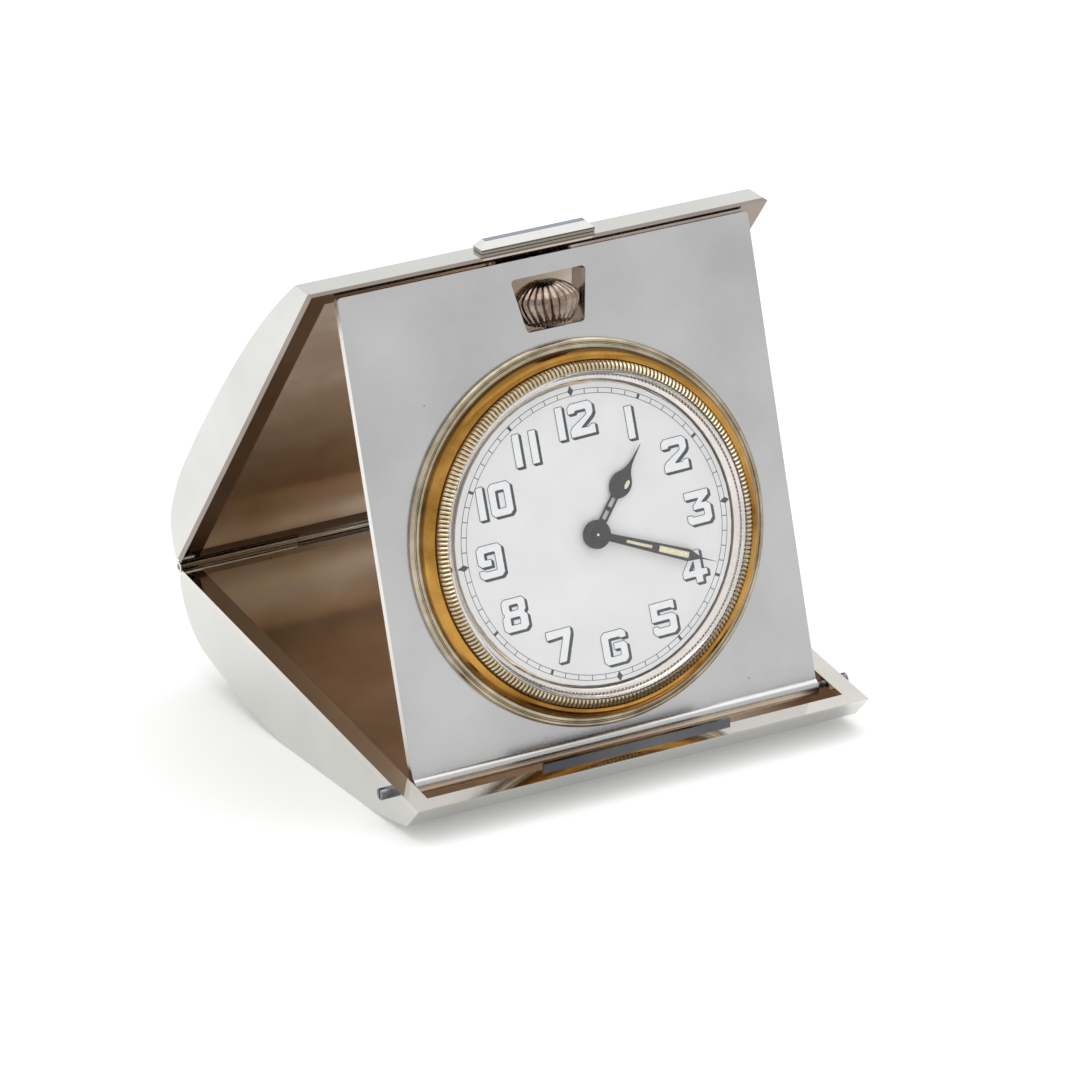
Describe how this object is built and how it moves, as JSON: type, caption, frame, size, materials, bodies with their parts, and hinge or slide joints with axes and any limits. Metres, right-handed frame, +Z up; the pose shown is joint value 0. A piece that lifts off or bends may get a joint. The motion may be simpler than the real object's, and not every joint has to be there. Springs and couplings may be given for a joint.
{
  "type": "folding travel clock",
  "caption": "Folding travel clock: shallow half shells on a barrel hinge stand open as an easel round a square plate with a bezelled dial, a hand-wound movement and a crown in a window.",
  "frame": {"origin": "middle of the footprint's bounding box, on the surface that the clock stands on", "axes": "+Z up; +X along the hinge, to the right of a person facing the dial; +Y from the dial side towards the hinge side"},
  "size_m": [0.0604, 0.067, 0.0619],
  "materials": {
    "polished_silver": "polished silver with fine hairline scratches",
    "gilt_metal": "polished gilt",
    "nickel_silver": "turned nickel silver",
    "steel": "ground steel",
    "brass": "brushed and gilded brass",
    "dial_enamel": "fired white enamel with dark printing",
    "blackened_steel": "blackened, with pale lume in the slots",
    "glass": "clear domed glass"
  },
  "bodies": {
    "base": {"lower_shell": "polished_silver", "lower_rim": "polished_silver", "lower_knuckles": "polished_silver", "hinge_pin": "steel", "plate_pins": "steel", "catch_tongue": "polished_silver"},
    "lid": {"lid_shell": "polished_silver", "lid_rim": "polished_silver", "lid_knuckle": "polished_silver"},
    "latch": {"latch_slide": "polished_silver", "latch_hook": "polished_silver"},
    "clock_plate": {"face_plate": "polished_silver", "window_box": "polished_silver", "bezel_flange": "polished_silver", "gilt_bezel": "gilt_metal", "reeded_bezel": "nickel_silver", "crystal": "glass", "dial": "dial_enamel", "case_ring": "nickel_silver", "back_cover": "nickel_silver", "main_plate": "brass", "movement_block": "brass"},
    "minute_set": {"centre_arbor": "steel", "cannon_pinion": "steel", "minute_hand": "blackened_steel"},
    "hour_set": {"hour_wheel": "brass", "hour_hand": "blackened_steel"},
    "minute_work": {"minute_wheel": "brass"},
    "setting": {"setting_lever": "steel"},
    "crown": {"winding_crown": "polished_silver", "winding_stem": "steel"}
  },
  "joints": [
    {"name": "lid_hinge", "type": "hinge", "parent": "base", "child": "lid", "pos_m": [0, 0.0321, 0.01397], "axis": [-1, 0, 0], "range_deg": [0, 126]},
    {"name": "plate_fold", "type": "hinge", "parent": "base", "child": "clock_plate", "pos_m": [0, -0.02573, 0.00412], "axis": [-1, 0, 0], "range_deg": [0, 70.5]},
    {"name": "latch_travel", "type": "slide", "parent": "lid", "child": "latch", "axis": [1, 0, 0], "range_m": [-0.0012, 0]},
    {"name": "minute_hand_turn", "type": "hinge", "parent": "clock_plate", "child": "minute_set", "pos_m": [0, -0.02173, 0.02786], "axis": [0, -0.9825, 0.1864], "continuous": true},
    {"name": "hour_hand_turn", "type": "hinge", "parent": "clock_plate", "child": "hour_set", "pos_m": [0, -0.02173, 0.02786], "axis": [0, -0.9825, 0.1864], "continuous": true},
    {"name": "minute_wheel_turn", "type": "hinge", "parent": "clock_plate", "child": "minute_work", "pos_m": [-0.00272, -0.02224, 0.02519], "axis": [0, -0.9825, 0.1864], "continuous": true},
    {"name": "crown_pull", "type": "slide", "parent": "clock_plate", "child": "setting", "axis": [0, 0.1864, 0.9825], "range_m": [0, 0.0006]},
    {"name": "crown_turn", "type": "hinge", "parent": "setting", "child": "crown", "pos_m": [0, -0.02006, 0.02754], "axis": [0, 0.1864, 0.9825], "continuous": true}
  ],
  "couplings": [
    {"joint": "plate_fold", "follows": "lid_hinge", "ratio": 0.55952},
    {"joint": "hour_hand_turn", "follows": "minute_hand_turn", "ratio": 0.083333},
    {"joint": "minute_wheel_turn", "follows": "minute_hand_turn", "ratio": -0.33333}
  ]
}
